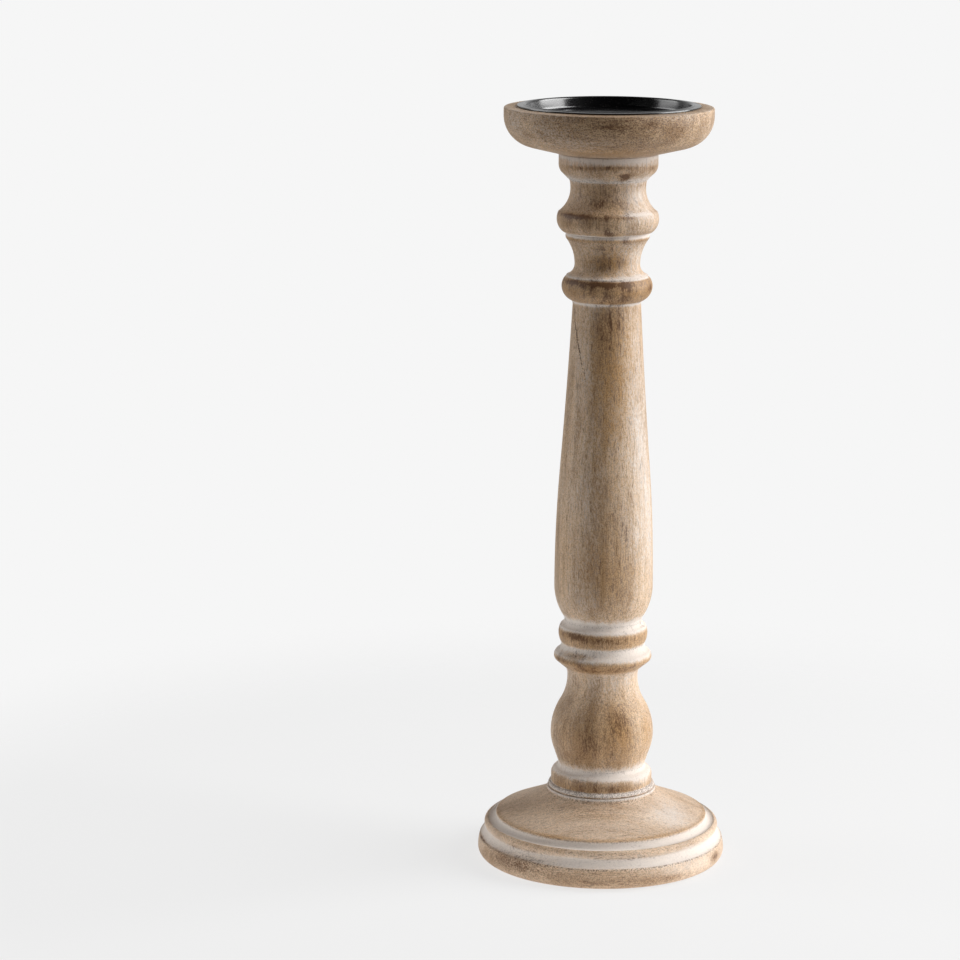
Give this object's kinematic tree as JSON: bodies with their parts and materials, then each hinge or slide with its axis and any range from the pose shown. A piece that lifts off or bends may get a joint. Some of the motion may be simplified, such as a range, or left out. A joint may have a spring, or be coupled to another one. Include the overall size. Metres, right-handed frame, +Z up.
{
  "type": "turned wooden candle stand",
  "caption": "Tall turned wooden stand on a round moulded foot, with a bowl-shaped cup and a lift-out metal dish that seats a pillar candle.",
  "frame": {"origin": "centre of the base felt's underside, on the ground", "axes": "+Z up along the axis that every piece is turned about; +Y away from the picture's viewer"},
  "size_m": [0.1244, 0.1244, 0.381],
  "materials": {
    "felt": "pressed felt",
    "foot_wood": "limewashed, matt",
    "column_wood": "limewashed, matt",
    "cup_wood": "limewashed, matt",
    "dish_black": "black satin enamel",
    "screw_steel": "zinc plated"
  },
  "bodies": {
    "stand": {"base_felt": "felt", "foot": "foot_wood", "column": "column_wood", "cup": "cup_wood", "cup_screw": "screw_steel", "foot_screw": "screw_steel", "foot_washer": "screw_steel"},
    "dish": {"dish": "dish_black"}
  },
  "joints": [
    {"name": "dish_lift", "type": "slide", "parent": "stand", "child": "dish", "axis": [0, 0, 1], "range_m": [0, 0.04]}
  ]
}
